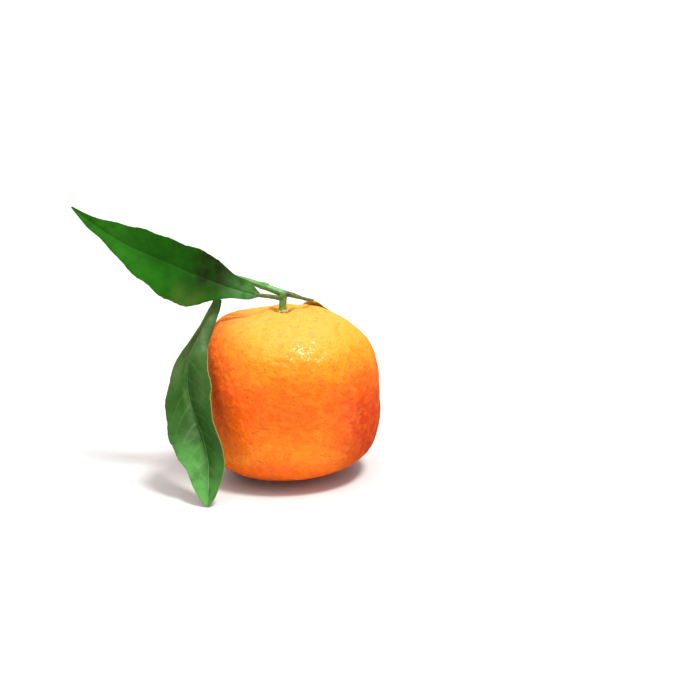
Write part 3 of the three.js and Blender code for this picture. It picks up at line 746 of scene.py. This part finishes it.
def leaf_piece(name):
    leaf = LEAVES[name]
    start = leaf["petiole"]
    frames = leaf_frames(leaf, start + (1 - start) * np.linspace(0, 1, BLADE_STEPS + 1))
    sheet, b, c, from_rib = leaf_sheet(leaf, frames)
    normal = unit(np.cross(np.gradient(sheet, axis=0), np.gradient(sheet, axis=1)))
    if (normal * frames["up"][:, None, :]).sum() < 0:
        normal = -normal

    veins = vein_mask(b, c, frames["length"], leaf["seed"])
    groove = GROOVE_DEPTH * np.exp(-(from_rib / GROOVE_WIDTH) ** 2) * (1 - smoothstep(b, 0.0, 0.95) * 0.5)
    rib_radius = leaf["petiole_radii"][1] * (1 - RIB_TAPER * b)
    keel = rib_radius * 1.15 * np.exp(-(from_rib / (rib_radius * 1.1)) ** 2) * (1 - smoothstep(b, 0.9, 1.0))
    quilt = QUILT_HEIGHT * field(sheet.reshape(-1, 3), QUILT_SIZE, leaf["seed"] + 4).reshape(c.shape)
    thickness = BLADE_THICKNESS * (1 - MARGIN_THINNING * np.abs(c) ** 6) / 2
    top = sheet + normal * (thickness - groove - VEIN_SINK * veins + quilt)[..., None]
    under = sheet - normal * (thickness + keel + VEIN_RISE * veins - quilt)[..., None]

    faces = two_sided_faces(*c.shape)
    if np.cross(top[1, 1] - top[0, 0], top[0, 1] - top[0, 0]) @ normal[0, 0] > 0:
        faces = [tuple(reversed(face)) for face in faces]
    stem_points, stem_faces = petiole_body(leaf)
    faces += [tuple(i + 2 * c.size for i in face) for face in stem_faces]
    points = np.vstack([top.reshape(-1, 3), under.reshape(-1, 3), stem_points])

    def spread(on_top, on_under, on_stem):
        sides = [np.broadcast_to(values, c.shape).ravel() for values in (on_top, on_under)]
        return np.concatenate([*sides, np.full(len(stem_points), on_stem)])

    rib = np.exp(-(from_rib / (0.5 - 0.25 * b)) ** 2)
    return make_object(name + "_blade", points, faces, {
        "along": spread(b, b, 0), "across": spread(c, c, 0), "rib": spread(rib, rib, 1),
        "vein": spread(veins, veins, 0), "under": spread(0, 1, 0.5), "stem": spread(0, 0, 1),
    })


# The margin's tone, and the yellow brown of a withering foot made paler as painted light.
MARGIN_TONE, WITHERED_AND_PAINTED_LIGHT_TONE = rgb(150, 158, 74), rgb(194, 190, 78)
UNDERSIDE_TONE, NET_TONE = rgb(104, 140, 72), rgb(134, 164, 98)
UNDERSIDE_VEIN_TONE, UNDERSIDE_RIB_TONE = rgb(156, 178, 110), rgb(160, 176, 104)
PETIOLE_GREEN, PETIOLE_BROWN = rgb(66, 96, 45), rgb(104, 106, 66)

# Patches are from and to along the blade, from and to across it, strength and colour.
LEAF_LOOKS = {
    "leaf_upper": dict(
        base=rgb(25, 79, 7), deep=rgb(20, 68, 5), light=rgb(32, 90, 11), rib_tone=rgb(24, 64, 10),
        patches=[
            # Painted light: the lower half lighter green, as it faces the light.
            (0.3, 1.0, 0.05, 1.6, 0.6, rgb(37, 107, 16)),
            (0.2, 0.42, 0.2, 1.5, 0.7, rgb(62, 88, 28)),
            (0.5, 1.3, -1.5, 1.5, 0.75, rgb(42, 106, 20)),
            # Painted shadow: a near-black blotch in the fold by the blade's foot.
            (0.03, 0.4, -1.8, 0.95, 1.0, rgb(25, 34, 8)),
            # Painted reflection: a pale sheen on the foot, where it faces up.
            (-0.3, 0.24, -1.7, 1.7, 0.85, rgb(76, 124, 64)),
        ],
        gloss=0.05, roughness=0.42),
    "leaf_lower": dict(
        base=rgb(45, 87, 26), deep=rgb(39, 75, 21), light=rgb(56, 100, 34), rib_tone=rgb(142, 172, 118),
        patches=[
            # Painted light: the left half of the lower part lighter, as it faces the light.
            (0.6, 1.2, -1.5, 0.1, 0.8, rgb(82, 144, 68)),
            # Painted shade: the right half of the lower part darker, as it faces away from the light.
            (0.5, 0.8, 0.15, 1.4, 0.5, rgb(43, 78, 23)),
            (0.72, 1.5, -1.6, 1.6, 0.7, rgb(84, 146, 68)),
            # Painted sheen: a pale gloss over the top of the blade.
            (-0.25, 0.4, -1.5, 1.2, 0.5, rgb(100, 126, 82)),
            # Painted sheen: the left half of the upper part paler.
            (0.08, 0.5, -1.7, -0.05, 0.45, rgb(92, 118, 72)),
            (0.2, 0.62, 0.1, 1.6, 0.5, rgb(60, 84, 40)),
            # Painted sheen: a pale band along the midrib.
            (0.08, 0.66, -0.4, 0.25, 0.6, rgb(92, 120, 72)),
            # Painted sheen: paler near the midrib on the right half.
            (0.35, 0.62, 0.15, 0.9, 0.4, rgb(76, 98, 56)),
        ],
        gloss=0.16, roughness=0.36, edge=0.5),
    "leaf_back": dict(
        base=rgb(60, 104, 34), deep=rgb(46, 86, 24), light=rgb(84, 124, 50), rib_tone=rgb(108, 134, 72),
        patches=[(0.3, 0.6, -1.8, 1.8, 0.6, rgb(128, 132, 54))],
        gloss=0.1, roughness=0.42, withered_and_lit=0.9),
}


def leaf_look(name, base, deep, light, rib_tone, patches, gloss, roughness, edge=0.0, withered_and_lit=0.0):
    """edge is how strongly one margin is lit through, and the last argument how yellow the blade's foot is: the
    leaf's own browning, made paler as painted light for the shade it lies in.
    """
    look = Look(name)
    along, across = look.attribute("along"), look.attribute("across")
    vein, rib = look.attribute("vein"), look.attribute("rib")
    colour = look.mix(look.span(look.noise(6, 4, 0.6), 0.35, 0.68), deep, base)
    colour = look.mix(look.span(look.noise(1.3, 3), 0.45, 0.75, 0.0, 0.25), colour, light)
    # Patches hold the blades' own tones and also painted light, shade, sheen and shadow.
    for a0, a1, c0, c1, strength, tone in patches:
        soft_a, soft_c = 0.35 * (a1 - a0), 0.35 * (c1 - c0)
        ragged = look.span(look.noise(4, 3), 0.3, 0.62, 0.35, 1.0)
        inside = look.times(look.span(along, a0, a0 + soft_a), look.span(along, a1, a1 - soft_a),
                            look.span(across, c0, c0 + soft_c), look.span(across, c1, c1 - soft_c))
        colour = look.mix(look.times(inside, ragged, strength), colour, tone)
    colour = look.mix(look.times(vein, 0.12), colour, rib_tone)
    colour = look.mix(look.times(look.span(rib, 0.35, 0.95), 0.5), colour, rib_tone)
    colour = look.mix(look.span(across, 0.96, 0.99, 0.0, edge), colour, MARGIN_TONE)

    # The underside is paler and duller, with a net of fine veins.
    net = look.span(look.cells(0.9, "DISTANCE_TO_EDGE"), 0.0, 0.1, 1.0, 0.0)
    pale = look.mix(look.times(net, 0.3), UNDERSIDE_TONE, NET_TONE)
    pale = look.mix(look.times(vein, 0.5), pale, UNDERSIDE_VEIN_TONE)
    pale = look.mix(look.times(rib, 0.7), pale, UNDERSIDE_RIB_TONE)
    under = look.span(look.attribute("under"), 0.5, 1.0)
    colour = look.mix(under, colour, pale)
    # The blade's foot turns yellow brown: the leaf's own browning, made paler as painted light for the shade it
    # lies in.
    colour = look.mix(look.span(along, 0.42, 0.12, 0.0, withered_and_lit), colour, WITHERED_AND_PAINTED_LIGHT_TONE)
    stalk = look.mix(look.span(look.noise(0.8, 3), 0.4, 0.65), PETIOLE_GREEN, PETIOLE_BROWN)
    colour = look.mix(look.attribute("stem"), colour, stalk)

    fine = look.plus(look.times(net, -0.35), look.times(look.noise(0.5, 2), 0.5))
    dull = look.plus(look.span(look.noise(3, 3), 0.3, 0.7, roughness - 0.06, roughness + 0.08),
                     look.times(under, 0.22))
    look.set(Base_Color=colour, Roughness=dull, Normal=look.bump(fine, 0.05, 0.7), IOR=1.45,
             Specular_IOR_Level=gloss, Subsurface_Weight=0.08,
             Subsurface_Radius=(0.3, 0.6, 0.1), Subsurface_Scale=0.5 * MM)
    return look.material


# ---- The pieces ----

def dress(piece, node, material):
    piece.data.materials.append(material)
    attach(piece, "root")
    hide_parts(node)


dress(fruit_piece(), "fruit", peel_look())
dress(calyx_piece(), "calyx", calyx_look())
dress(twig_piece(), "twig", bark_look())
for leaf_name, tones in LEAF_LOOKS.items():
    dress(leaf_piece(leaf_name), leaf_name, leaf_look(leaf_name + "_green", **tones))


# ---- Floor, light and camera ----

FLOOR_RADIUS, WALL_HEIGHT = 4, 1.6  # in metres, as everything in this part is
PAPER_TONES = rgb(198, 198, 197), rgb(202, 202, 202)
LIGHT_AIM = Vector((0, 0, 0.03))
WARM_WHITE, WHITE = (1.0, 0.985, 0.96), (1, 1, 1)
SKY = [  # name, where the light comes from, strength, how many degrees across, colour
    ("key", (0.34, -0.22, 1.0), 0.15, 40, WARM_WHITE),
    ("lamp", (0.3, -0.26, 1.0), 3.5, 13, WARM_WHITE),
    ("overhead", (-0.2, 0.1, 1.0), 1.3, 90, WHITE),
    ("front", (0.1, -0.8, 0.55), 1.05, 90, WHITE),
]
WALLS_BRIGHTEN = {"From Min": 0.0, "From Max": 0.9, "To Min": 0.06, "To Max": 0.65}
LENS, SENSOR, CLIP_START = 85, 36, 0.01
CAMERA_ELEVATION = math.radians(16)
CAMERA_DISTANCE = 0.567
CAMERA_AIM = Vector((0.0206, 0.004, 0.0425))


def pale_floor():
    """A round floor that curves up into a low wall."""
    turn = np.linspace(0, 2 * np.pi, 96, endpoint=False)
    # From outside in, as the rings' faces and the middle's then all point up.
    rings = [(FLOOR_RADIUS + WALL_HEIGHT * math.sin(a), WALL_HEIGHT * (1 - math.cos(a)))
             for a in np.linspace(1.5, 0, 13)]
    rings += [(FLOOR_RADIUS / 2, 0), (FLOOR_RADIUS / 8, 0)]
    points = [(r * math.cos(t), r * math.sin(t), z) for r, z in rings for t in turn]
    middle = tuple(range(len(points) - len(turn), len(points)))
    mesh = bpy.data.meshes.new("floor")
    mesh.from_pydata(points, [], ring_faces(len(rings), len(turn)) + [middle])
    mesh.shade_smooth()
    floor = bpy.data.objects.new("floor", mesh)
    bpy.context.scene.collection.objects.link(floor)
    look = Look("pale_paper")
    look.set(Base_Color=look.mix(look.span(look.noise(40, 2), 0.3, 0.7), *PAPER_TONES), Roughness=0.7)
    mesh.materials.append(look.material)


def soft_sky(name, place, strength, angle, colour):
    """Even light from a round patch of sky."""
    data = bpy.data.lights.new(name, "SUN")
    data.energy, data.angle, data.color = strength, math.radians(angle), colour
    light = bpy.data.objects.new(name, data)
    light.location = place
    light.rotation_euler = (LIGHT_AIM - Vector(place)).to_track_quat("-Z", "Y").to_euler()
    bpy.context.scene.collection.objects.link(light)


def studio_world():
    """Dim white walls that grow brighter towards the ceiling."""
    world = bpy.data.worlds.new("studio")
    world.use_nodes = True
    nodes, links = world.node_tree.nodes, world.node_tree.links
    split = nodes.new("ShaderNodeSeparateXYZ")
    rise = nodes.new("ShaderNodeMapRange")
    for key, value in WALLS_BRIGHTEN.items():
        rise.inputs[key].default_value = value
    links.new(nodes.new("ShaderNodeTexCoord").outputs["Generated"], split.inputs["Vector"])
    links.new(split.outputs["Z"], rise.inputs["Value"])
    links.new(rise.outputs["Result"], nodes["Background"].inputs["Strength"])
    nodes["Background"].inputs["Color"].default_value = (1, 1, 1, 1)
    bpy.context.scene.world = world


def photo_camera():
    data = bpy.data.cameras.new("camera")
    data.lens, data.sensor_width, data.clip_start = LENS, SENSOR, CLIP_START
    camera = bpy.data.objects.new("camera", data)
    back = Vector((0, -math.cos(CAMERA_ELEVATION), math.sin(CAMERA_ELEVATION)))
    camera.location = CAMERA_AIM + CAMERA_DISTANCE * back
    camera.rotation_euler = (math.pi / 2 - CAMERA_ELEVATION, 0, 0)
    bpy.context.scene.collection.objects.link(camera)
    bpy.context.scene.camera = camera


pale_floor()
for light in SKY:
    soft_sky(*light)
photo_camera()
studio_world()
bpy.context.scene.view_settings.view_transform = "Standard"
